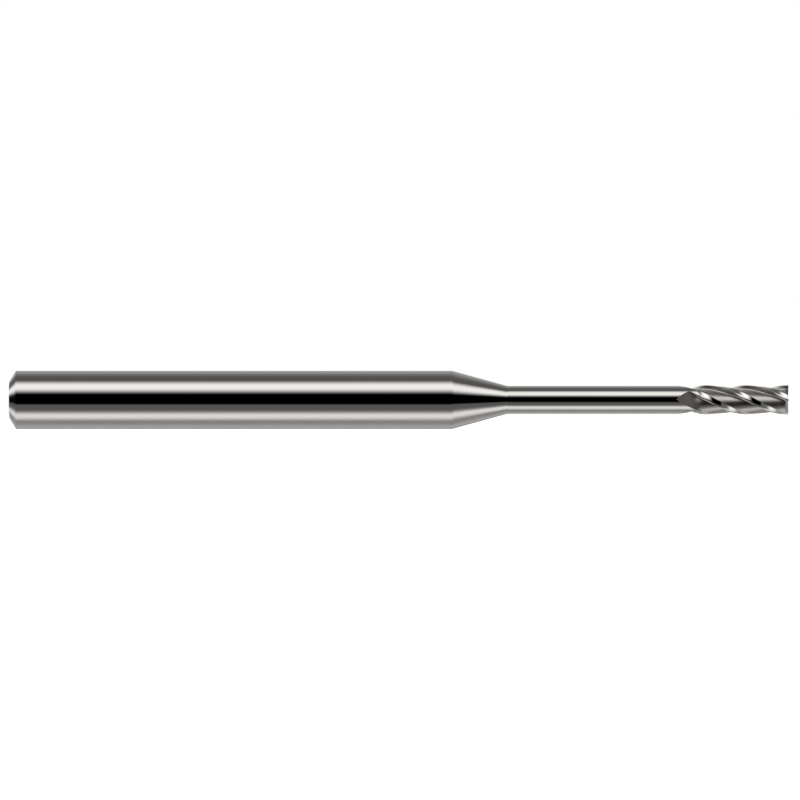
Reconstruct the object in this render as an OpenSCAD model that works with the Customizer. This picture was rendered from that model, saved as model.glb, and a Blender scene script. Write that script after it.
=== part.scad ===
// Long-reach square end mill: a plain ground shank, a taper down to a relieved
// neck, and a short four-tooth cutting head. The axis is +X, with the centre of
// the shank's back face at the origin and the cutting end at x = overall_l.
// The tool is ground from one rod, so every node below is one ground zone of it
// and each zone meets the next one face to face.

/* [Overall] */
// Length from the back face to the cutting corners
overall_l = 63.5; // [45:0.5:100]
// Length from the cutting corners back to the small end of the taper
reach_l = 22.9; // [14:0.1:38]

/* [Shank] */
// Shank diameter, the size that the collet grips
shank_d = 4.7625; // [4:0.0025:6.35]
// Length of the back end's chamfer along the axis
chamfer_l = 0.545; // [0.3:0.005:1]
// Depth of the back end's chamfer from the shank's surface
chamfer_depth = 0.89; // [0.4:0.01:1.3]

/* [Taper and neck] */
// Slope of the taper from the axis, in degrees
taper_angle = 15.4; // [10:0.1:30]
// Radius that rounds the corner between the shank and the taper
shoulder_r = 0.4; // [0.2:0.1:3]
// Radius that fills the corner between the taper and the neck
neck_fillet_r = 0.3; // [0.2:0.1:2]
// How far the neck's surface lies below the cutting diameter
neck_relief = 0.0476; // [0.02:0.0001:0.1]

/* [Cutting head] */
// Diameter over the cutting edges
cutter_d = 2.38125; // [1.8:0.00125:3]
// Length of the teeth at full depth
flute_l = 7.14; // [5:0.01:10]
// Angle of the cutting edges from the axis, in degrees
helix_angle = 30; // [20:1:45]
// Turn of the first cutting corner about the axis, in degrees
corner_angle = 185; // [0:1:360]

/* [Flute section] */
// Radial depth of a flute below the cutting diameter
flute_depth = 0.39; // [0.25:0.01:0.45]
// Radius of the gullet between the rake face and the flute's floor
gullet_r = 0.155; // [0.08:0.005:0.2]
// Width of the margin behind a cutting edge, in degrees about the axis
margin_angle = 6.5; // [4:0.5:9]
// Relief of the margin, in degrees
margin_relief = 10; // [6:0.5:12]
// Width of the whole land from the cutting edge to the heel, in degrees
land_angle = 24; // [18:1:30]
// Relief of the flat that lies between the margin and the heel, in degrees
land_relief = 17; // [12:1:22]

/* [Run-out] */
// Length over which the flutes rise to the neck's surface
runout_l = 2; // [1.5:0.05:3]
// Slope of the floor of a flute where it runs out, in degrees
runout_angle = 17; // [14:0.1:20]
// How far the run-out starts before the line where the flute's floor meets the neck
runout_back = 5; // [2:0.5:10]

/* [Cutting end] */
// Hollow of the cutting end towards the axis, in degrees
dish_angle = 2; // [0:0.5:4]
// Relief behind an end cutting edge, in degrees
end_relief = 8; // [4:1:12]
// Width of the end land behind an end cutting edge, in degrees about the axis
end_land_angle = 13; // [8:1:20]
// Slope of the clearance behind the end land, in degrees
end_clearance = 20; // [12:1:28]
// Where the clearance ends and the gash starts, in degrees behind the edge
gash_start = 26; // [22:1:30]
// Where the gash reaches its full depth, in degrees behind the edge
gash_end = 34; // [31:1:40]
// Slope of the gash's wall, in degrees
gash_angle = 50; // [40:1:60]

/* [Hidden] */
$fn = 96;

// Radii and the stations of the zones along the axis.
shank_r = shank_d / 2;
cut_r = cutter_d / 2;
neck_r = cut_r - neck_relief;
neck_x = overall_l - reach_l;
taper_l = (shank_r - neck_r) / tan(taper_angle);
taper_x = neck_x - taper_l;
head_x = overall_l - flute_l;
runout_x = head_x - runout_l;

// The corners at the taper's ends: how far each rounding reaches from its corner.
shoulder_reach = shoulder_r * tan(taper_angle / 2);
fillet_reach = neck_fillet_r * tan(taper_angle / 2);
arc_steps = 4;

// Helix: the lead, and the turn of the first cutting edge at a station.
teeth = 4;
tooth_pitch = 360 / teeth;
lead = PI * cutter_d / tan(helix_angle);
function edge_turn(x) = corner_angle + 360 * (x - overall_l) / lead;

// The section of one tooth space, in polar coordinates [radius, degrees ahead of
// the cutting edge]. The rake face is radial. The gullet's arc is tangent to it
// and to the core, and a spiral floor rises from the arc to the next tooth's heel.
core_r = cut_r - flute_depth;
web_r = sqrt(core_r * core_r + 2 * core_r * gullet_r);
gullet_turn = atan(gullet_r / web_r);
heel_turn = tooth_pitch - land_angle;
function margin_r(back) = cut_r * (1 - tan(margin_relief) * back * PI / 180);
function land_flat_r(back) = margin_r(margin_angle) * cos(land_relief)
    / cos(back - margin_angle - land_relief);
heel_r = land_flat_r(land_angle);
floor_slope = atan(ln(heel_r / core_r) * 180 / PI / (heel_turn - gullet_turn));
gullet_end = gullet_turn - 180 - floor_slope * core_r / (core_r + gullet_r);

function polar(p) = [norm(p), atan2(p.y, p.x)];
function gullet_point(a) = polar([web_r + gullet_r * cos(a), gullet_r * (1 + sin(a))]);
floor_start = gullet_point(gullet_end);
function floor_r(turn) = floor_start[0] * pow(heel_r / floor_start[0],
    (turn - floor_start[1]) / (heel_turn - floor_start[1]));
web_turn = floor_start[1] + (heel_turn - floor_start[1]) *
    ln(web_r / floor_start[0]) / ln(heel_r / floor_start[0]);

// How finely each stretch of the section is divided, and the stations.
gullet_steps = 5;
web_floor_steps = 4;
tooth_floor_steps = 6;
flat_steps = 5;
margin_steps = 2;
head_steps = 30;
runout_steps = 24;

function span(n) = [for (i = [0 : n]) i / n];
function ahead(p, turn) = [p[0], p[1] + turn];

// Stretches of the section, each in the order from one cutting edge to the next.
rake_line = [[cut_r, 0], [web_r, 0]];
gullet_arc = [for (t = span(gullet_steps)) gullet_point(-90 + (gullet_end + 90) * t)];
web_floor = [for (t = span(web_floor_steps))
    let (turn = floor_start[1] + (web_turn - floor_start[1]) * t) [floor_r(turn), turn]];
tooth_floor = [for (t = span(tooth_floor_steps))
    let (turn = web_turn + (heel_turn - web_turn) * t) [floor_r(turn), turn]];
land_flat = [for (t = span(flat_steps)) let (back = land_angle + (margin_angle - land_angle) * t)
    [land_flat_r(back), tooth_pitch - back]];
margin = [for (t = span(margin_steps)) let (back = margin_angle * (1 - t)) [margin_r(back), tooth_pitch - back]];

function without_last(v) = [for (i = [0 : len(v) - 2]) v[i]];
land = concat(without_last(land_flat), margin);
function reversed(v) = [for (i = [len(v) - 1 : -1 : 0]) v[i]];

// A tooth's own outline, from the foot of its rake face over the edge, the land
// and the heel to the web, and the matching points of its root on the web.
tooth_top = concat(without_last(reversed(rake_line)),
    [for (p = without_last(reversed(land))) ahead(p, -tooth_pitch)],
    [for (p = reversed(tooth_floor)) ahead(p, -tooth_pitch)]);
tooth_root = [for (t = span(len(tooth_top) - 1)) [web_r, (web_turn - tooth_pitch) * t]];

// The outline of the web, over one tooth pitch.
web_pitch = concat(without_last(gullet_arc), without_last(web_floor),
    [for (p = without_last(reversed(tooth_root))) ahead(p, tooth_pitch)]);

// A polar point of the section, turned by the helix at station x.
function place(p, x, end_x) = let (a = edge_turn(x) + p[1]) [end_x, p[0] * cos(a), p[0] * sin(a)];

// The cutting end: the dish, then behind each end edge a land, a clearance and a
// gash. Each drops in proportion to the distance from the axis.
function end_fall(from, to, slope) = (to - from) * PI / 180 * tan(slope);
land_fall = end_fall(0, end_land_angle, end_relief);
clearance_fall = land_fall + end_fall(end_land_angle, gash_start, end_clearance);
gash_fall = clearance_fall + end_fall(gash_start, gash_end, gash_angle);
end_falls = [[0, 0], [end_land_angle, land_fall], [gash_start, clearance_fall], [gash_end, gash_fall]];
function end_x(r, back) = overall_l - (cut_r - r) * tan(dish_angle) - r * lookup(back, end_falls);
function end_place(p, back) = let (x = end_x(p[0], back)) place(p, x, x);

// Where the flutes run out, their floor is a flat that slopes up to the neck. It
// starts just before the turn where the spiral floor itself would meet the neck,
// and it blends into that floor over the rest of the run-out.
neck_turn = heel_turn + ln(neck_r / heel_r) * 180 / PI / tan(floor_slope);
runout_turn = neck_turn - runout_back;
runout_lead_in = 0.4;
runout_flat_share = 0.4;
function runout_depth(x) = let (d = max(x - runout_x, 0))
    tan(runout_angle) * (sqrt(d * d + runout_lead_in * runout_lead_in) - runout_lead_in);
function runout_centre(x) = runout_turn - edge_turn(x) + edge_turn(runout_x);
function runout_r(x, turn) = (neck_r - runout_depth(x)) / max(cos(turn - runout_centre(x)), 0.2);

// The blank grows from the neck to the cutting diameter at the end of the run-out.
growth_l = 0.6;
function growth(x) = min(max((x - head_x) / growth_l + 1, 0), 1);
function blank_r(x) = neck_r + neck_relief * growth(x);

// At a station of the run-out, the cut lies between these two turns: it starts as
// one point of the neck's surface and ends as the whole flute, from edge to heel.
function cut_half(x) = acos(min((neck_r - runout_depth(x)) / blank_r(x), 1));
function cut_limit(x) = heel_turn + (neck_turn - heel_turn) * (1 - growth(x));
function cut_from(x) = max(runout_centre(x) - cut_half(x), 0);
function cut_to(x) = min(runout_centre(x) + cut_half(x), cut_limit(x));

// The three stretches of one tooth pitch in the run-out: the rake face, the floor
// and the land. Each keeps its number of points and spreads them over its width.
floor_line = concat(without_last(gullet_arc), without_last(web_floor), tooth_floor);
floor_table = concat([for (p = floor_line) [p[1], p[0]]], [[neck_turn, neck_r]]);
function blend(x) = let (t = max(((x - runout_x) / runout_l - runout_flat_share) / (1 - runout_flat_share), 0))
    t * t * (3 - 2 * t);
function cut_floor_r(x, turn) = let (flat_r = runout_r(x, turn), rise = max(lookup(turn, floor_table) - flat_r, 0))
    min(blank_r(x), flat_r + rise * blend(x));
function runout_rake(x) = [for (p = without_last(rake_line))
    let (t = (cut_r - p[0]) / (cut_r - web_r), turn = cut_from(x))
    [blank_r(x) + (cut_floor_r(x, turn) - blank_r(x)) * t, turn]];
function runout_floor(x) = [for (p = without_last(floor_line))
    let (turn = cut_from(x) + (cut_to(x) - cut_from(x)) * p[1] / heel_turn) [cut_floor_r(x, turn), turn]];
function runout_land(x) = [for (p = without_last(land))
    let (t = (p[1] - heel_turn) / land_angle, turn = cut_to(x) + (tooth_pitch + cut_from(x) - cut_to(x)) * t)
    [min(blank_r(x), p[0] + (cut_r - heel_r) * (1 - growth(x))), turn]];

function all_pitches(pitch) = [for (k = [0 : teeth - 1]) for (p = pitch) ahead(p, k * tooth_pitch)];
function runout_ring(x) = [for (p = all_pitches(concat(runout_rake(x), runout_floor(x), runout_land(x))))
    place(p, x, x)];

// Faces between rings of n points each, and flat faces that close the ends.
function side_faces(rings, n) = [for (i = [0 : rings - 2]) for (j = [0 : n - 1])
    let (a = i * n + j, b = i * n + (j + 1) % n) each [[a, b, b + n], [a, b + n, a + n]]];
function flat_face(first, n) = [for (j = [0 : n - 1]) first + j];
function fan_faces(first, n, hub) = [for (j = [0 : n - 1]) [first + j, first + (j + 1) % n, hub]];
function flipped(faces) = [for (f = faces) reversed(f)];

// The closed outline of one ring of a tooth, and the strip that closes its end.
function strip_faces(first, n) = [for (j = [0 : n - 1])
    let (a = first + j, b = first + j + 1, c = first + 2 * n - j, d = c - 1)
    each (j == 0 ? [[a, b, d]] : j == n - 1 ? [[a, b, c]] : [[a, b, d], [a, d, c]])];

module revolved(outline) {
    rotate([0, 90, 0]) rotate([0, 0, 90]) rotate_extrude() polygon(outline);
}

// The back end, chamfered so that the shank enters a collet easily.
module shank_back_chamfer() {
    color("#8d8a86") revolved([[0, 0], [shank_r - chamfer_depth, 0], [shank_r, chamfer_l], [0, chamfer_l]]);
}

// The plain cylindrical shank, up to where the shoulder's rounding starts.
module shank() {
    color("#a9a6a1") translate([chamfer_l, 0, 0]) rotate([0, 90, 0])
        cylinder(h = taper_x - shoulder_reach - chamfer_l, r = shank_r);
}

// The taper, with its rounded shoulder and the fillet into the neck.
module taper() {
    shoulder = [for (t = span(arc_steps)) let (a = taper_angle * t)
        [shank_r - shoulder_r * (1 - cos(a)), taper_x - shoulder_reach + shoulder_r * sin(a)]];
    fillet = [for (t = span(arc_steps)) let (a = taper_angle * (1 - t))
        [neck_r + neck_fillet_r * (1 - cos(a)), neck_x + fillet_reach - neck_fillet_r * sin(a)]];
    color("#a19e99") revolved(concat([[0, taper_x - shoulder_reach]], shoulder, fillet,
        [[0, neck_x + fillet_reach]]));
}

// The relieved neck, a little smaller than the cutting diameter.
module neck() {
    color("#a9a6a1") translate([neck_x + fillet_reach, 0, 0]) rotate([0, 90, 0])
        cylinder(h = runout_x - neck_x - fillet_reach, r = neck_r);
}

// The stretch where the four flutes rise to the neck's surface.
module flute_runout() {
    n = len(runout_ring(runout_x));
    rings = [for (t = span(runout_steps)) runout_ring(runout_x + runout_l * t)];
    color("#807c78") polyhedron([for (ring = rings) each ring],
        concat([flat_face(0, n)], flipped(side_faces(runout_steps + 1, n)),
            [reversed(flat_face(runout_steps * n, n))]));
}

// The web: the solid middle of the head, with the gullets of the four flutes.
module web() {
    outline = all_pitches(web_pitch);
    n = len(outline);
    own = len(web_pitch);
    gullet_n = gullet_steps + web_floor_steps;
    last = [for (j = [0 : n - 1]) let (in_pitch = j % own, p = outline[j], k = floor(j / own))
        in_pitch == 0 ? end_place(p, 0) : end_place(p, (k + 1) * tooth_pitch - p[1])];
    first = [for (p = outline) place(p, head_x, head_x)];
    between = [for (i = [1 : head_steps - 1]) [for (j = [0 : n - 1])
        let (x = head_x + (last[j].x - head_x) * i / head_steps) place(outline[j], x, x)]];
    color("#74706c") polyhedron(concat(first, [for (ring = between) each ring], last,
            [[end_x(0, 0), 0, 0]]),
        concat([flat_face(0, n)], flipped(side_faces(head_steps + 1, n)),
            flipped(fan_faces(head_steps * n, n, (head_steps + 1) * n))));
}

// One tooth: the rake face, the land and the upper part of the flute's floor.
module tooth(number) {
    turn = (number - 1) * tooth_pitch;
    outline = concat(tooth_top, [for (i = [len(tooth_root) - 2 : -1 : 1]) tooth_root[i]]);
    n = len(outline);
    last = [for (p = outline) end_place(ahead(p, turn), -p[1])];
    stations = [for (i = [0 : head_steps]) [for (j = [0 : n - 1])
        let (x = head_x + (last[j].x - head_x) * i / head_steps) place(ahead(outline[j], turn), x, x)]];
    strip_n = len(tooth_top) - 1;
    color("#989490") polyhedron([for (ring = stations) each ring],
        concat(flipped(strip_faces(0, strip_n)), side_faces(head_steps + 1, n),
            strip_faces(head_steps * n, strip_n)));
}

shank_back_chamfer();
shank();
taper();
neck();
flute_runout();
web();
tooth(1);  // tooth_1
tooth(2);  // tooth_2
tooth(3);  // tooth_3
tooth(4);  // tooth_4
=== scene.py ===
import math

import bpy
import numpy as np
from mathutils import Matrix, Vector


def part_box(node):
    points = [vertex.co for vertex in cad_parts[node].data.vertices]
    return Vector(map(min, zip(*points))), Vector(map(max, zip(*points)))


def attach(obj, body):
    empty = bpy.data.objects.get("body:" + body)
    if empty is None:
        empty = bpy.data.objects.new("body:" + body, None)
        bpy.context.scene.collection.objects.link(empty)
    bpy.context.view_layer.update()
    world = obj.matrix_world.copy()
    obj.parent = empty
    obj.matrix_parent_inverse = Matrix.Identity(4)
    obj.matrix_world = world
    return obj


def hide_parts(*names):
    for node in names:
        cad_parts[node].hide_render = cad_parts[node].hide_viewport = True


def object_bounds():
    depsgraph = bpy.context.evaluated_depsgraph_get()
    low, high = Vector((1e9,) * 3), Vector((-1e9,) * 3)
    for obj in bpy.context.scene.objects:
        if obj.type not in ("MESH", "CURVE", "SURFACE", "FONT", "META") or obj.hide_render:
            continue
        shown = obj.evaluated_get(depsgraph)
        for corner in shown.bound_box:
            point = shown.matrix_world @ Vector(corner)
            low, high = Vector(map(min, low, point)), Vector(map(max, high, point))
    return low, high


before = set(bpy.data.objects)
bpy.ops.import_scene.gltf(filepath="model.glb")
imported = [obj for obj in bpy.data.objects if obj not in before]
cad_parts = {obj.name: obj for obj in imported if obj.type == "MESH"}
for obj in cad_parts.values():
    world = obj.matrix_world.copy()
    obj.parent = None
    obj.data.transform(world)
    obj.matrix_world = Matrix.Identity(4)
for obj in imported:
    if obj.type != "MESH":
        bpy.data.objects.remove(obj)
cad_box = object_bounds()

# Shapes are worked out in millimetres in the row's frame, and meshes are in metres.
MM = 0.001


def box_mm(node):
    lo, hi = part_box(node)
    return np.array(lo) / MM, np.array(hi) / MM


# The zones of the tool along its axis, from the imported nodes, and the turned sizes.
tip_x = cad_box[1].x / MM
head_x = box_mm("web")[0][0]
runout_x, runout_end = box_mm("flute_runout")[0][0], box_mm("flute_runout")[1][0]
chamfer_end = box_mm("shank_back_chamfer")[1][0]
shank_end = box_mm("shank")[1][0]
taper_end = box_mm("taper")[1][0]
SHANK_R = 2.38125
NECK_R = 1.143025
BACK_DEPTH = 0.89
TAPER = math.radians(15.4)
SHOULDER_R = 0.4
FILLET_R = 0.3
RIM_R = 0.05

# The ground section of the head. Turns are in degrees ahead of a cutting edge.
CUT_R = 1.190625
RELIEF = CUT_R - NECK_R
TEETH = 4
PITCH = 360 / TEETH
HELIX = math.radians(30)
LEAD = 2 * math.pi * CUT_R / math.tan(HELIX)
TWIST = 2 * math.pi / LEAD
TURN_RATE = 360 / LEAD
ALONG_EDGE = math.hypot(1, TWIST * CUT_R)
CORNER = 185.0
FLUTE_DEPTH = 0.39
CORE_R = CUT_R - FLUTE_DEPTH
GULLET_R = 0.155
MARGIN = 6.5
MARGIN_SLOPE = math.tan(math.radians(10))
HEEL = 24.0
FLAT_RELIEF = 17.0
WEB_R = math.sqrt(CORE_R ** 2 + 2 * CORE_R * GULLET_R)
GULLET_TURN = math.degrees(math.atan(GULLET_R / WEB_R))
HEEL_TURN = PITCH - HEEL
MARGIN_R = CUT_R * (1 - MARGIN_SLOPE * math.radians(MARGIN))


def cosd(a):
    return np.cos(np.radians(a))


def sind(a):
    return np.sin(np.radians(a))


def edge_turn(x):
    """Turn of the first cutting edge about the axis at station x, in degrees."""
    return CORNER + TURN_RATE * (np.asarray(x, float) - tip_x)


# --- The section of the head: radius and outward normal, stretch by stretch ---

HEEL_R = MARGIN_R * cosd(FLAT_RELIEF) / cosd(HEEL - MARGIN - FLAT_RELIEF)
FLOOR_SLOPE = math.log(HEEL_R / CORE_R) / math.radians(HEEL_TURN - GULLET_TURN)
GULLET_END = GULLET_TURN - 180 - math.degrees(math.atan(FLOOR_SLOPE)) * CORE_R / (CORE_R + GULLET_R)


def polar_normal(nx, ny, turn):
    """A section normal given along the turn-0 and turn-90 directions, as (radial, tangential)."""
    return nx * cosd(turn) + ny * sind(turn), -nx * sind(turn) + ny * cosd(turn)


def gullet(t):
    a = -90 + (GULLET_END + 90) * t
    x, y = WEB_R + GULLET_R * cosd(a), GULLET_R * (1 + sind(a))
    turn = np.degrees(np.arctan2(y, x))
    return np.hypot(x, y), turn, *polar_normal(-cosd(a), -sind(a), turn)


FLOOR_START = gullet(np.array([1.0]))
START_R, START_TURN = float(FLOOR_START[0][0]), float(FLOOR_START[1][0])
SPIRAL = math.log(HEEL_R / START_R) / math.radians(HEEL_TURN - START_TURN)
WEB_TURN = START_TURN + math.degrees(math.log(WEB_R / START_R) / SPIRAL)
NECK_TURN = HEEL_TURN + math.degrees(math.log(NECK_R / HEEL_R) / SPIRAL)


def spiral(turn):
    turn = np.asarray(turn, float)
    r = START_R * np.exp(SPIRAL * np.radians(turn - START_TURN))
    d = math.hypot(1, SPIRAL)
    return r, turn, np.full_like(turn, 1 / d), np.full_like(turn, -SPIRAL / d)


def margin(back):
    back = np.asarray(back, float)
    r = CUT_R * (1 - MARGIN_SLOPE * np.radians(back))
    slope = CUT_R * MARGIN_SLOPE / r
    d = np.hypot(1, slope)
    return r, -back, 1 / d, -slope / d


def land_flat(back):
    back = np.asarray(back, float)
    lag = back - MARGIN - FLAT_RELIEF
    r = MARGIN_R * cosd(FLAT_RELIEF) / cosd(lag)
    return r, -back, cosd(lag), sind(lag)


def land_radius(back):
    return np.where(back < MARGIN, margin(back)[0], land_flat(back)[0])


# --- Meshes from grids of points that carry their own normals ---

# Points that round to the same place on this grid, in steps per mm, are one vertex.
WELD = 2e5


class Solid:
    """Grids of points with their normals, welded into one closed mesh."""

    def __init__(self):
        self.points, self.normals, self.grain, self.faces, self.slots = [], [], [], [], []
        self.count = 0

    def grid(self, p, n=None, slot=0, grain=None):
        """p is rows x columns x 3, in mm. Without normals, they come from the grid itself."""
        p = np.asarray(p, float)
        rows, cols = p.shape[:2]
        own = np.cross(np.gradient(p, axis=0), np.gradient(p, axis=1))
        if n is None:
            length = np.linalg.norm(own, axis=2, keepdims=True)
            mean = own.reshape(-1, 3).sum(0)
            mean /= max(np.linalg.norm(mean), 1e-30)
            n = np.where(length > 1e-12, own / np.maximum(length, 1e-30), mean)
            outward = 1.0
        else:
            n = np.asarray(n, float)
            outward = np.sign((own * n).sum()) or 1.0
        if grain is None:
            grain = p[..., :2]
        i = np.arange(rows * cols).reshape(rows, cols) + self.count
        quads = np.stack([i[:-1, :-1], i[1:, :-1], i[1:, 1:], i[:-1, 1:]], -1).reshape(-1, 4)
        if outward < 0:
            quads = quads[:, ::-1]
        self.points.append(p.reshape(-1, 3))
        self.normals.append(n.reshape(-1, 3))
        self.grain.append(np.asarray(grain, float).reshape(-1, 2))
        self.faces.append(quads)
        self.slots.append(np.full(len(quads), slot))
        self.count += rows * cols

    def turned(self, p, slot=0, grain=None, facing=(1, 0, 0)):
        """A grid without its own normals, whose normals point to the side of facing."""
        p = np.asarray(p, float)
        own = np.cross(np.gradient(p, axis=0), np.gradient(p, axis=1)).reshape(-1, 3).sum(0)
        if own @ np.asarray(facing, float) < 0:
            p = p[::-1]
            grain = None if grain is None else grain[::-1]
        self.grid(p, None, slot, grain)

    def build(self, name, materials, body, nodes):
        p, n = np.vstack(self.points), np.vstack(self.normals)
        g, quads, slots = np.vstack(self.grain), np.vstack(self.faces), np.concatenate(self.slots)
        places = np.round(p * WELD).astype(np.int64)
        _, first, joined = np.unique(places, axis=0, return_index=True, return_inverse=True)
        joined = joined.ravel()
        faces, loops, face_slots, seen = [], [], [], set()
        for quad, s in zip(quads, slots):
            ids = [int(joined[q]) for q in quad]
            keep = [k for k in range(4) if ids[k] != ids[k - 1]]
            if len(keep) < 3 or len({ids[k] for k in keep}) < len(keep):
                continue
            key = tuple(sorted(ids[k] for k in keep))
            if key in seen:
                continue
            seen.add(key)
            faces.append([ids[k] for k in keep])
            loops.extend(int(quad[k]) for k in keep)
            face_slots.append(int(s))
        mesh = bpy.data.meshes.new(name)
        mesh.from_pydata((p[first] * MM).tolist(), [], faces)
        mesh.polygons.foreach_set("material_index", face_slots)
        mesh.polygons.foreach_set("use_smooth", np.ones(len(faces), bool))
        layer = mesh.uv_layers.new(name="grain")
        layer.uv.foreach_set("vector", g[loops].astype(np.float32).ravel())
        for m in materials:
            mesh.materials.append(m)
        mesh.normals_split_custom_set(n[loops].tolist())
        mesh.validate(clean_customdata=False)
        piece = bpy.data.objects.new(name, mesh)
        bpy.context.scene.collection.objects.link(piece)
        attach(piece, body)
        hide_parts(*nodes)


# --- Materials: carbide with the fine lines that its grinding wheels leave, with painted shade in the flutes and a painted highlight on the lands ---

# How much of the finish's unevenness is in its lines. The rest is in soft clouds.
LINES_SHARE = 0.65
DULL = (0.93, 0.88, 0.87)


def carbide(name, colour, roughness, spread, line_depth, across, along, coarse=0.0):
    """Polished or ground tungsten carbide. Lines run along the first grain coordinate;
    across and along are how many of them there are per mm, each way. Coarse is how much
    rougher the finish gets in the run-out, where it is duller too."""
    m = bpy.data.materials.new(name)
    m.use_nodes = True
    tree = m.node_tree
    tree.nodes.clear()

    def node(kind, **values):
        made = tree.nodes.new(kind)
        for key, value in values.items():
            if hasattr(made, key):
                setattr(made, key, value)
            else:
                made.inputs[key].default_value = value
        return made

    def join(a, out, b, into):
        tree.links.new(a.outputs[out], b.inputs[into])

    output = node("ShaderNodeOutputMaterial")
    shader = node("ShaderNodeBsdfPrincipled", Metallic=1.0)
    shader.inputs["Specular IOR Level"].default_value = 0.5
    join(shader, "BSDF", output, "Surface")
    uv = node("ShaderNodeUVMap", uv_map="grain")
    lines_at = node("ShaderNodeMapping")
    lines_at.inputs["Scale"].default_value = (along, across, 1)
    join(uv, "UV", lines_at, "Vector")
    lines = node("ShaderNodeTexNoise", noise_dimensions="2D", Scale=1.0, Detail=4.0, Roughness=0.62)
    join(lines_at, "Vector", lines, "Vector")
    place = node("ShaderNodeTexCoord")
    cloud = node("ShaderNodeTexNoise", noise_dimensions="3D", Scale=420.0, Detail=3.0, Roughness=0.5)
    join(place, "Object", cloud, "Vector")

    mix = node("ShaderNodeMath", operation="MULTIPLY_ADD")
    mix.inputs[1].default_value = LINES_SHARE
    join(lines, "Fac", mix, 0)
    share = node("ShaderNodeMath", operation="MULTIPLY")
    share.inputs[1].default_value = 1 - LINES_SHARE
    join(cloud, "Fac", share, 0)
    join(share, "Value", mix, 2)
    rough = node("ShaderNodeMapRange")
    rough.inputs["From Min"].default_value = 0.3
    rough.inputs["From Max"].default_value = 0.7
    rough.inputs["To Min"].default_value = roughness - spread
    rough.inputs["To Max"].default_value = roughness + spread
    join(mix, "Value", rough, "Value")
    if coarse:
        where = node("ShaderNodeSeparateXYZ")
        join(place, "Object", where, "Vector")
        fade = node("ShaderNodeMapRange", interpolation_type="SMOOTHSTEP")
        fade.inputs["From Min"].default_value = (runout_end + 0.6) * MM
        fade.inputs["From Max"].default_value = (runout_end - 0.7) * MM
        join(where, "X", fade, "Value")
        rougher = node("ShaderNodeMath", operation="MULTIPLY_ADD")
        rougher.inputs[1].default_value = coarse
        join(fade, "Result", rougher, 0)
        join(rough, "Result", rougher, 2)
        join(rougher, "Value", shader, "Roughness")
    else:
        join(rough, "Result", shader, "Roughness")

    tint = node("ShaderNodeMix", data_type="RGBA")
    dark = [c * 0.93 for c in colour]
    light = [min(c * 1.05, 1) for c in colour]
    tint.inputs[6].default_value = (*dark, 1)
    tint.inputs[7].default_value = (*light, 1)
    join(mix, "Value", tint, 0)
    if coarse:
        dull = node("ShaderNodeMix", data_type="RGBA")
        dull.inputs[7].default_value = (*[c * d for c, d in zip(colour, DULL)], 1)
        tree.links.new(tint.outputs[2], dull.inputs[6])
        join(fade, "Result", dull, 0)
        tree.links.new(dull.outputs[2], shader.inputs["Base Color"])
    else:
        tree.links.new(tint.outputs[2], shader.inputs["Base Color"])

    bump = node("ShaderNodeBump", Strength=1.0)
    bump.inputs["Distance"].default_value = line_depth * MM
    join(lines, "Fac", bump, "Height")
    join(bump, "Normal", shader, "Normal")
    return m


polished = carbide("carbide_shank", (0.55, 0.535, 0.515), 0.08, 0.015, 0.00002, 22, 0.35)
neck_finish = carbide("carbide_neck", (0.55, 0.535, 0.515), 0.08, 0.015, 0.00002, 26, 0.4)
chamfer_finish = carbide("carbide_chamfer", (0.52, 0.505, 0.49), 0.12, 0.03, 0.0001, 30, 0.5)
# The land's carbide is lighter than the shank's: a painted highlight on the lands, on top of their
# smoother grind.
flat_finish_and_highlight = carbide("carbide_land_highlight", (0.66, 0.645, 0.625), 0.07, 0.02, 0.00003, 34, 0.5)
margin_finish = carbide("carbide_margin", (0.56, 0.55, 0.53), 0.26, 0.04, 0.0001, 40, 0.6)
# The flute's and the rake's carbide are darker than the shank's: painted shade in the flutes, on top of
# their rougher grind.
flute_finish_and_shade = carbide("carbide_flute_shaded", (0.465, 0.443, 0.425), 0.33, 0.04, 0.00015, 30, 0.4, 0.14)
rake_finish_and_shade = carbide("carbide_rake_shaded", (0.42, 0.41, 0.395), 0.36, 0.04, 0.00015, 30, 0.4)
end_finish = carbide("carbide_end", (0.46, 0.45, 0.44), 0.4, 0.04, 0.0002, 36, 0.6)


# --- Turned zones: back chamfer, shank, taper and neck ---

ROUND = 192


def ring(profile, normals, slot, solid):
    """Turns a profile of [x, r] about the axis. Its normals are [nx, nr]."""
    profile, normals = np.asarray(profile, float), np.asarray(normals, float)
    a = np.radians(np.linspace(0, 360, ROUND + 1))
    x, r = np.meshgrid(profile[:, 0], a, indexing="ij")[0], profile[:, 1][:, None]
    p = np.stack([x, r * np.cos(a), r * np.sin(a)], -1)
    n = np.stack([np.broadcast_to(normals[:, 0][:, None], x.shape),
                  normals[:, 1][:, None] * np.cos(a), normals[:, 1][:, None] * np.sin(a)], -1)
    length = np.concatenate([[0], np.cumsum(np.hypot(*np.diff(profile, axis=0).T))])
    around = np.broadcast_to(a * max(profile[:, 1].max(), 0.1), x.shape)
    grain = np.stack([around, np.broadcast_to((profile[0, 0] + length)[:, None], x.shape)], -1)
    solid.grid(p, n, slot, grain)


def disc(x, radius, facing, solid, rings=2):
    """A flat end of a turned zone, which faces -x or +x."""
    r = np.linspace(0, radius, rings + 1)
    ring(np.stack([np.full_like(r, x), r], -1), np.tile([facing, 0.0], (rings + 1, 1)), 0, solid)


def arc(centre, radius, start, end, steps, inward=False):
    """Points and outward normals of a profile arc, with angles from +x towards +r."""
    a = np.radians(np.linspace(start, end, steps + 1))
    n = np.stack([np.cos(a), np.sin(a)], -1)
    return np.asarray(centre) + radius * n, -n if inward else n


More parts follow.
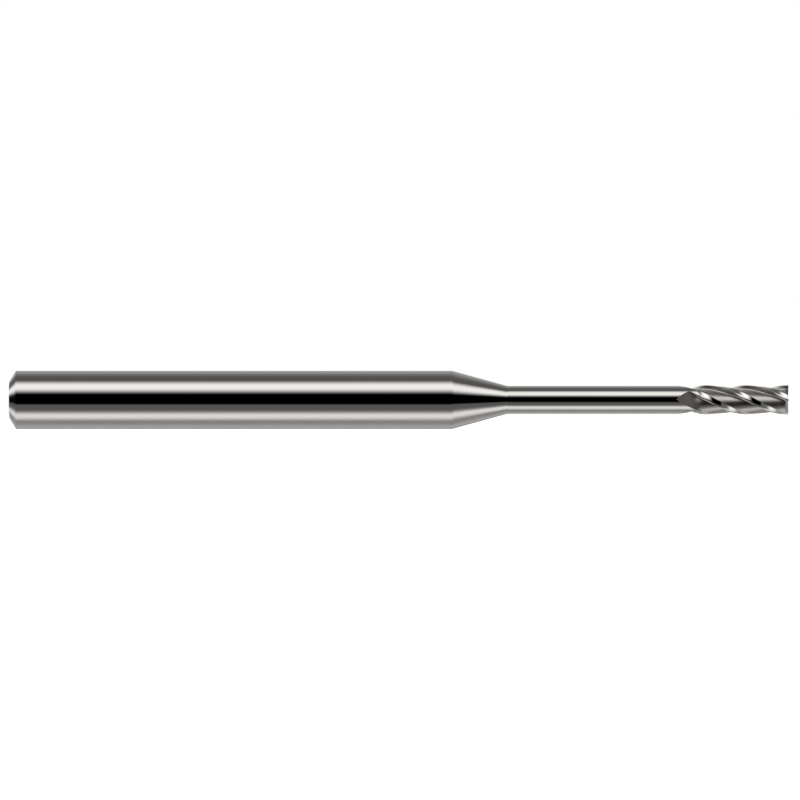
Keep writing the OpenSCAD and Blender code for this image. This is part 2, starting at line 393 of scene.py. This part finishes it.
def straight(a, b, steps):
    """Points and outward normals of a straight stretch of a profile."""
    a, b = np.asarray(a, float), np.asarray(b, float)
    t = np.linspace(0, 1, steps + 1)[:, None]
    d = (b - a) / np.linalg.norm(b - a)
    return a + (b - a) * t, np.tile([-d[1], d[0]], (steps + 1, 1))


def back_chamfer():
    solid = Solid()
    turn = math.degrees(math.atan2(BACK_DEPTH, chamfer_end))
    face_r = SHANK_R - BACK_DEPTH - RIM_R * math.tan(math.radians((90 - turn) / 2))
    disc(0, face_r, -1, solid, 10)
    rim, rim_n = arc((RIM_R, face_r), RIM_R, 180, 90 + turn, 6)
    ring(rim, rim_n, 1, solid)
    ring(*straight(rim[-1], (chamfer_end, SHANK_R), 6), 1, solid)
    disc(chamfer_end, SHANK_R, 1, solid)
    finishes = [end_finish, chamfer_finish]
    solid.build("back_chamfer", finishes, "root", ["shank_back_chamfer"])


def plain_shank():
    solid = Solid()
    ring(*straight((chamfer_end, SHANK_R), (shank_end, SHANK_R), 40), 0, solid)
    disc(chamfer_end, SHANK_R, -1, solid)
    disc(shank_end, SHANK_R, 1, solid)
    solid.build("plain_shank", [polished], "root", ["shank"])


def taper_cone():
    solid = Solid()
    turn = math.degrees(TAPER)
    shoulder, shoulder_n = arc((shank_end, SHANK_R - SHOULDER_R), SHOULDER_R, 90, 90 - turn, 16)
    fillet, fillet_n = arc((taper_end, NECK_R + FILLET_R), FILLET_R, 270 - turn, 270, 12, inward=True)
    ring(shoulder, shoulder_n, 0, solid)
    ring(*straight(shoulder[-1], fillet[0], 24), 0, solid)
    ring(fillet, fillet_n, 0, solid)
    disc(shank_end, SHANK_R, -1, solid)
    disc(taper_end, NECK_R, 1, solid)
    solid.build("taper_cone", [polished], "root", ["taper"])


def relieved_neck():
    solid = Solid()
    ring(*straight((taper_end, NECK_R), (runout_x, NECK_R), 30), 0, solid)
    disc(taper_end, NECK_R, -1, solid)
    disc(runout_x, NECK_R, 1, solid)
    solid.build("relieved_neck", [neck_finish], "root", ["neck"])


back_chamfer()
plain_shank()
taper_cone()
relieved_neck()


# --- The cutting head: web and teeth, swept along the helix ---

STATIONS = 170
LIFTS = 5
RAKE_STEPS = 5
# How far the grinding lines are moved for each degree of turn, in mm, so that they differ.
SIDE_SHIFT = 0.01
END_SHIFT = 0.02
# The flute and rake materials carry painted shade, and the land's material a painted highlight.
FINISHES = [flute_finish_and_shade, flat_finish_and_highlight, margin_finish, rake_finish_and_shade, end_finish]
FLUTE, FLAT, EDGE, RAKE, END = range(len(FINISHES))


def sweep(x, r, turn, nr, nt):
    """Points and normals of section points (r, turn) at stations x (rows x columns)."""
    a = np.radians(edge_turn(x) + turn)
    p = np.stack([x, r * np.cos(a), r * np.sin(a)], -1)
    nx = -TWIST * r * nt
    n = np.stack([nx, nr * np.cos(a) - nt * np.sin(a), nr * np.sin(a) + nt * np.cos(a)], -1)
    return p, n / np.linalg.norm(n, axis=-1, keepdims=True)


def swept(solid, x, stretch, turn_by, slot):
    """Adds a stretch of the section, swept over the stations x."""
    r, turn, nr, nt = (np.broadcast_to(np.asarray(v, float), (len(stretch[1]),)) for v in stretch)
    size = (x.shape[0], len(turn))
    r, turn, nr, nt = (np.broadcast_to(v, size) for v in (r, turn + turn_by, nr, nt))
    p, n = sweep(x, r, turn, nr, nt)
    step = np.hypot(np.diff(r[0]), r[0][1:] * np.radians(np.diff(turn[0])))
    across = np.concatenate([[0], np.cumsum(step)]) + turn[0][0] * SIDE_SHIFT
    solid.grid(p, n, slot, np.stack([x * ALONG_EDGE, np.broadcast_to(across, x.shape)], -1))


# The end teeth: a land, a clearance behind it, then the gash before the next edge.
DISH = math.tan(math.radians(2))
END_TURNS = [0, 13, 26, 34]
END_SLOPES = [8, 20, 50]
END_RISES = np.radians(np.diff(END_TURNS)) * np.tan(np.radians(END_SLOPES))
END_DROPS = np.concatenate([[0], np.cumsum(END_RISES)])


def end_x(r, back):
    """Where the end face is at radius r, this many degrees behind an end edge."""
    return tip_x - (CUT_R - r) * DISH - r * np.interp(back, END_TURNS, END_DROPS)


def stations(last):
    """Stations from the start of the head to each column's last one."""
    return head_x + (last - head_x) * np.linspace(0, 1, STATIONS + 1)[:, None]


def spun(x, r, turn):
    """Points at radius r and this turn from the first edge at x."""
    a = np.radians(edge_turn(x) + turn)
    return np.stack([x + 0 * r, r * np.cos(a), r * np.sin(a)], -1)


def rake_line(n):
    r = np.linspace(WEB_R, CUT_R, n + 1)
    return r, np.zeros(n + 1), np.zeros(n + 1), np.ones(n + 1)


def with_breaks(start, end, steps, breaks=()):
    """Evenly spaced values that also hold each break that lies between them."""
    values = np.linspace(start, end, steps + 1)
    for b in breaks:
        if min(start, end) + 1e-6 < b < max(start, end) - 1e-6:
            values[np.argmin(np.abs(values - b))] = b
    return values


def end_face(solid, face, back, first, grain):
    """Adds an end face in strips, so that it creases where its slope changes."""
    breaks = {first, len(back) - 1} | {int(np.argmin(np.abs(back - b))) for b in END_TURNS[1:]}
    breaks = sorted(breaks)
    for left, right in zip(breaks, breaks[1:]):
        solid.turned(face[:, left:right + 1], END, grain[:, left:right + 1])


END_BREAKS = [PITCH - b for b in END_TURNS]
UPPER_FLOOR = spiral(with_breaks(HEEL_TURN, WEB_TURN, 18, END_BREAKS))
LOWER_FLOOR = spiral(with_breaks(START_TURN, WEB_TURN, 8, END_BREAKS))
TOOTH = [
    (rake_line(RAKE_STEPS), RAKE),
    (margin(np.linspace(0, MARGIN, 5)), EDGE),
    (land_flat(with_breaks(MARGIN, HEEL, 12, END_TURNS)), FLAT),
    ((UPPER_FLOOR[0], UPPER_FLOOR[1] - PITCH, *UPPER_FLOOR[2:]), FLUTE),
]
TOOTH_R = np.concatenate([stretch[0] for stretch, _ in TOOTH])
TOOTH_TURN = np.concatenate([stretch[1] for stretch, _ in TOOTH])


def tooth(number):
    solid = Solid()
    turn_by = (number - 1) * PITCH
    for stretch, slot in TOOTH:
        swept(solid, stations(end_x(stretch[0], -stretch[1])), stretch, turn_by, slot)
    ones = np.ones_like(TOOTH_TURN)
    root = (WEB_R * ones, TOOTH_TURN, -ones, 0 * ones)
    swept(solid, stations(end_x(root[0], -TOOTH_TURN)), root, turn_by, FLUTE)
    r = WEB_R + (TOOTH_R - WEB_R) * np.linspace(0, 1, RAKE_STEPS + 1)[:, None]
    cap = spun(end_x(r, -TOOTH_TURN), r, TOOTH_TURN + turn_by)
    grain = np.stack([r, -TOOTH_TURN * END_SHIFT + 0 * r], -1)
    end_face(solid, cap, -TOOTH_TURN, RAKE_STEPS, grain)
    start = spun(head_x, r, TOOTH_TURN + turn_by)
    solid.turned(start[:, RAKE_STEPS:], FLUTE, None, (-1, 0, 0))
    solid.build("tooth_%d_ground" % number, FINISHES, "root", ["tooth_%d" % number])


def web_pitch(solid, turn_by):
    """Adds a quarter of the web: its gullet, the ground under a tooth, and its end face."""
    columns = []
    for stretch in (gullet(np.linspace(0, 1, 15)), LOWER_FLOOR):
        r, turn = stretch[0], stretch[1]
        swept(solid, stations(end_x(r, PITCH - turn)), stretch, turn_by, FLUTE)
        columns.append((r, turn))
    root_turn = (TOOTH_TURN + PITCH)[::-1]
    root_turn = root_turn[np.concatenate([[True], np.diff(root_turn) > 1e-9])]
    ones = np.ones_like(root_turn)
    root = (WEB_R * ones, root_turn, ones, 0 * ones)
    low = end_x(WEB_R, PITCH)
    swept(solid, stations(low * ones), root, turn_by, FLUTE)
    lift = np.linspace(0, 1, LIFTS + 1)[:, None]
    swept(solid, low + (end_x(WEB_R, PITCH - root_turn) - low) * lift, root, turn_by, FLUTE)
    columns.append((WEB_R * ones, root_turn))

    r, turn = (np.concatenate([c[k] for c in columns]) for k in (0, 1))
    rho = (np.linspace(0, 1, 17) ** 0.9)[:, None]
    rr = r * rho
    face = spun(end_x(rr, PITCH - turn), rr, turn + turn_by)
    end_face(solid, face, PITCH - turn, 0, np.stack([rr, turn * END_SHIFT + 0 * rr], -1))
    solid.turned(spun(head_x, rr, turn + turn_by), FLUTE, None, (-1, 0, 0))

    # The rake wall of this end edge, above the gash in front of it.
    edge_r = (WEB_R * rho[:, 0])[None, :]
    foot = end_x(edge_r, PITCH)
    wall = spun(foot + (end_x(edge_r, 0) - foot) * lift, edge_r, turn_by)
    ahead = math.radians(float(edge_turn(tip_x)) + turn_by + 90)
    solid.turned(wall, END, None, (0, math.cos(ahead), math.sin(ahead)))


def web():
    solid = Solid()
    for pitch in range(TEETH):
        web_pitch(solid, pitch * PITCH)
    solid.build("web_ground", FINISHES, "root", ["web"])


for number in range(1, TEETH + 1):
    tooth(number)
web()


# --- The run-out: each flute's floor rises as a flat that meets the neck ---

RUN_SLOPE = math.tan(math.radians(17))
LEAD_IN = 0.4
FLAT_SHARE = 0.4
# The floor's shading keeps to the flat for longer than its shape does.
SHADED_FLAT_SHARE = 0.62
RUN_TURN = NECK_TURN - 5
GROWTH = 0.6
RUN_STATIONS = 110
WALL_POINTS = 6
FLOOR_POINTS = 47
HEEL_POINTS = 3
LAND_POINTS = 13
SEARCH_POINTS = 400
# The floor and wall materials carry painted shade, and the land's material a painted highlight.
RUN_FINISHES = [flute_finish_and_shade, rake_finish_and_shade, flat_finish_and_highlight, neck_finish]
RUN_SLOT = {"wall": 1, "floor": 0, "heel": 0, "land": 2, "blank": 3}


def run_depth(x):
    """How far the flat is below the neck's surface."""
    d = np.maximum(x - runout_x, 0)
    return RUN_SLOPE * (np.sqrt(d * d + LEAD_IN ** 2) - LEAD_IN)


def run_centre(x):
    """The turn that the flat faces. It keeps its place while the edges turn with x."""
    return RUN_TURN - TURN_RATE * (x - runout_x)


def section(turn):
    """Radius of the flute's floor at a turn: the gullet's arc, then the spiral up to the neck."""
    arc_r, arc_turn = gullet(np.linspace(0, 1, 200))[:2]
    r = np.where(turn < START_TURN, np.interp(turn, arc_turn, arc_r), spiral(turn)[0])
    return np.minimum(r, NECK_R)


def run_floor(x, turn, flat_share=FLAT_SHARE):
    """The flat at first, which blends into the flute's own floor."""
    flat = (NECK_R - run_depth(x)) / np.maximum(cosd(turn - run_centre(x)), 0.2)
    t = np.clip(((x - runout_x) / (runout_end - runout_x) - flat_share) / (1 - flat_share), 0, 1)
    return flat + np.maximum(section(turn) - flat, 0) * t * t * (3 - 2 * t)


def run_floor_normal(x, turn, dx=0.03, dt=1.5):
    """The floor's normal as (along the axis, radial, tangential)."""
    def floor_at(step_x, step_turn):
        return run_floor(x + step_x, turn + step_turn, SHADED_FLAT_SHARE)

    r = floor_at(0, 0)
    along = (floor_at(dx, -TURN_RATE * dx) - floor_at(-dx, TURN_RATE * dx)) / (2 * dx)
    around = (floor_at(0, dt) - floor_at(0, -dt)) / (2 * math.radians(dt))
    n = np.stack([-along, np.ones_like(r), -around / r], -1)
    return n / np.linalg.norm(n, axis=-1, keepdims=True)


def station(x):
    """One pitch of the run-out's section at station x, as {stretch: (r, turn)}."""
    grown = min(max((x - head_x) / GROWTH + 1, 0), 1)
    blank = NECK_R + RELIEF * grown
    half = math.degrees(math.acos(min((NECK_R - run_depth(x)) / blank, 1)))
    limit = HEEL_TURN + (NECK_TURN - HEEL_TURN) * (1 - grown)
    a, b = max(run_centre(x) - half, 0), min(run_centre(x) + half, limit)
    cut = np.linspace(a, b, FLOOR_POINTS)
    floor_r = np.minimum(run_floor(x, cut), blank)
    lift = (CUT_R - HEEL_R) * (1 - grown)
    behind = np.linspace(0, PITCH - b, SEARCH_POINTS)
    below = np.nonzero(land_radius(behind) + lift < blank - 1e-7)[0]
    start = min(behind[below[0]] if len(below) else HEEL, PITCH - b)
    ground = np.linspace(PITCH - b, start, LAND_POINTS)
    ground_r = np.minimum(land_radius(ground) + lift, blank)
    ground_r[-1] = blank
    rest = np.linspace(start, -a, LAND_POINTS)
    return {"wall": (np.linspace(blank, floor_r[0], WALL_POINTS), np.full(WALL_POINTS, a)),
            "floor": (floor_r, cut),
            "heel": (np.linspace(floor_r[-1], ground_r[0], HEEL_POINTS), np.full(HEEL_POINTS, b)),
            "land": (ground_r, PITCH - ground),
            "blank": (np.full_like(rest, blank), PITCH - rest)}


def run_normals(kind, r, turn):
    """Radial and tangential parts of the normals of a stretch of the run-out."""
    if kind == "wall":
        return np.zeros_like(r), np.ones_like(r)
    if kind == "heel":
        return np.zeros_like(r), -np.ones_like(r)
    if kind == "land":
        return land_flat(np.clip(PITCH - turn, MARGIN, HEEL))[2:]
    return np.ones_like(r), np.zeros_like(r)


def flute_runout():
    solid = Solid()
    xs = runout_x + (runout_end - runout_x) * (np.linspace(0, 1, RUN_STATIONS + 1) ** 1.15)
    rows = [station(float(x)) for x in xs]
    for pitch in range(TEETH):
        turn_by = pitch * PITCH
        ends = ([], [])
        for kind, slot in RUN_SLOT.items():
            r, turn = (np.array([row[kind][k] for row in rows]) for k in (0, 1))
            x = np.repeat(xs[:, None], r.shape[1], 1)
            p, n = sweep(x, r, turn + turn_by, *run_normals(kind, r, turn))
            if kind == "floor":
                own, a = run_floor_normal(x, turn), np.radians(edge_turn(x) + turn + turn_by)
                n = np.stack([own[..., 0], own[..., 1] * np.cos(a) - own[..., 2] * np.sin(a),
                              own[..., 1] * np.sin(a) + own[..., 2] * np.cos(a)], -1)
            solid.grid(p, n, slot, np.stack([x * ALONG_EDGE, np.radians(turn) * r], -1))
            for end in (0, 1):
                ends[end].append((r[-end], turn[-end]))
        for end, facing in ((0, -1), (1, 1)):
            r, turn = (np.concatenate([part[k] for part in ends[end]]) for k in (0, 1))
            cap = spun(xs[-end], r * np.linspace(0, 1, 4)[:, None], turn + turn_by)
            solid.turned(cap, 0, None, (facing, 0, 0))
    solid.build("flute_runout_ground", RUN_FINISHES, "root", ["flute_runout"])


flute_runout()


# --- Studio: a pale floor, a soft light tent and a camera at the side ---

def floor_material():
    m = bpy.data.materials.new("pale_floor")
    m.use_nodes = True
    shader = m.node_tree.nodes["Principled BSDF"]
    shader.inputs["Base Color"].default_value = (0.9, 0.9, 0.9, 1)
    shader.inputs["Roughness"].default_value = 0.9
    shader.inputs["Specular IOR Level"].default_value = 0.0
    return m


def pale_floor(side=1.6, steps=8):
    """A square floor under the tool, side metres each way from its middle."""
    mid = (cad_box[0].x + cad_box[1].x) / 2
    at = [-side + 2 * side * k / steps for k in range(steps + 1)]
    row = steps + 1
    corners = [j * row + i for j in range(steps) for i in range(steps)]
    mesh = bpy.data.meshes.new("floor")
    mesh.from_pydata([(mid + x, y, cad_box[0].z) for y in at for x in at], [],
                     [(c, c + 1, c + row + 1, c + row) for c in corners])
    mesh.materials.append(floor_material())
    floor = bpy.data.objects.new("floor", mesh)
    bpy.context.scene.collection.objects.link(floor)
    floor.visible_glossy = False


# The lights that the tool reflects, by height above the camera's line in degrees: the middle
# of each, half its width, how soft its edge is, and its strength. The camera stands in a
# dark gap between the key light above it and the fill light below.
LIGHTS = {
    "key": (54, 18, 14, 1.6),
    "fill": (-66, 15, 14, 1.3),
    "card": (-31, 13, 3, 0.16),
    "table": (-110, 30, 12, 0.4),
    "wall": (110, 35, 15, 0.15),
    "room": (180, 45, 40, 0.6),
}


def light_tent():
    """A world of soft lights that run along the tool and turn in beyond its back end.
    The camera itself sees plain white."""
    world = bpy.data.worlds.new("light_tent")
    bpy.context.scene.world = world
    world.use_nodes = True
    tree = world.node_tree
    tree.nodes.clear()

    def calculate(operation, a, b=0.0):
        made = tree.nodes.new("ShaderNodeMath")
        made.operation = operation
        for index, value in enumerate((a, b)):
            if isinstance(value, (int, float)):
                made.inputs[index].default_value = value
            else:
                tree.links.new(value, made.inputs[index])
        return made.outputs[0]

    def fade(value, start, end, strength=1.0):
        """Rises smoothly from 0 at start to strength at end."""
        made = tree.nodes.new("ShaderNodeMapRange")
        made.interpolation_type = "SMOOTHSTEP"
        made.inputs["From Min"].default_value = start
        made.inputs["From Max"].default_value = end
        made.inputs["To Max"].default_value = strength
        tree.links.new(value, made.inputs["Value"])
        return made.outputs["Result"]

    def background(colour):
        made = tree.nodes.new("ShaderNodeBackground")
        if isinstance(colour, tuple):
            made.inputs["Color"].default_value = colour
        else:
            tree.links.new(colour, made.inputs["Color"])
        return made.outputs["Background"]

    coord = tree.nodes.new("ShaderNodeTexCoord")
    split = tree.nodes.new("ShaderNodeSeparateXYZ")
    tree.links.new(coord.outputs["Generated"], split.inputs[0])
    x, y, z = (split.outputs[k] for k in "XYZ")
    closing = fade(x, -0.2, -0.5)
    ahead_of = calculate("MULTIPLY", y, calculate("SUBTRACT", calculate("MULTIPLY", closing, 0.1), 1.0))
    beside = calculate("SUBTRACT", ahead_of, calculate("MULTIPLY", closing, x))
    height = calculate("ARCTAN2", calculate("MULTIPLY", z, calculate("ADD", closing, 1.0)), beside)
    total = 0.0
    for middle, half, soft, strength in LIGHTS.values():
        # A light straight behind the tool is reached from above and from below.
        from_front = calculate("ABSOLUTE", height) if middle == 180 else height
        away = calculate("ABSOLUTE", calculate("SUBTRACT", from_front, math.radians(middle)))
        outer, inner = math.radians(half + soft), math.radians(half - soft)
        total = calculate("ADD", total, fade(away, outer, inner, strength))

    path = tree.nodes.new("ShaderNodeLightPath")
    pick = tree.nodes.new("ShaderNodeMixShader")
    tree.links.new(path.outputs["Is Camera Ray"], pick.inputs["Fac"])
    tree.links.new(background(total), pick.inputs[1])
    tree.links.new(background((1, 1, 1, 1)), pick.inputs[2])
    output = tree.nodes.new("ShaderNodeOutputWorld")
    tree.links.new(pick.outputs["Shader"], output.inputs["Surface"])


def floor_light():
    """A soft light from above for the floor, which the metal doesn't mirror."""
    light = bpy.data.lights.new("floor_light", "SUN")
    light.energy = 3.6
    light.angle = math.radians(40)
    lamp = bpy.data.objects.new("floor_light", light)
    lamp.rotation_euler = (math.radians(18), math.radians(-12), 0)
    lamp.visible_glossy = False
    bpy.context.scene.collection.objects.link(lamp)


# The picture's width and its centre along the tool, as shares of the tool's length.
PICTURE_WIDTH = 1.02669
PICTURE_CENTRE = 0.50149


def side_camera():
    camera = bpy.data.cameras.new("camera")
    camera.sensor_width = 36
    camera.lens = 736.7
    camera.clip_start = 0.05
    camera.clip_end = 20
    view = bpy.data.objects.new("camera", camera)
    length = cad_box[1].x - cad_box[0].x
    away = length * PICTURE_WIDTH * camera.lens / camera.sensor_width
    view.location = (cad_box[0].x + length * PICTURE_CENTRE, -away, 0)
    view.rotation_euler = (math.radians(90), 0, 0)
    bpy.context.scene.collection.objects.link(view)
    bpy.context.scene.camera = view


pale_floor()
light_tent()
floor_light()
side_camera()
bpy.context.scene.view_settings.view_transform = "Standard"
bpy.context.scene.view_settings.look = "None"
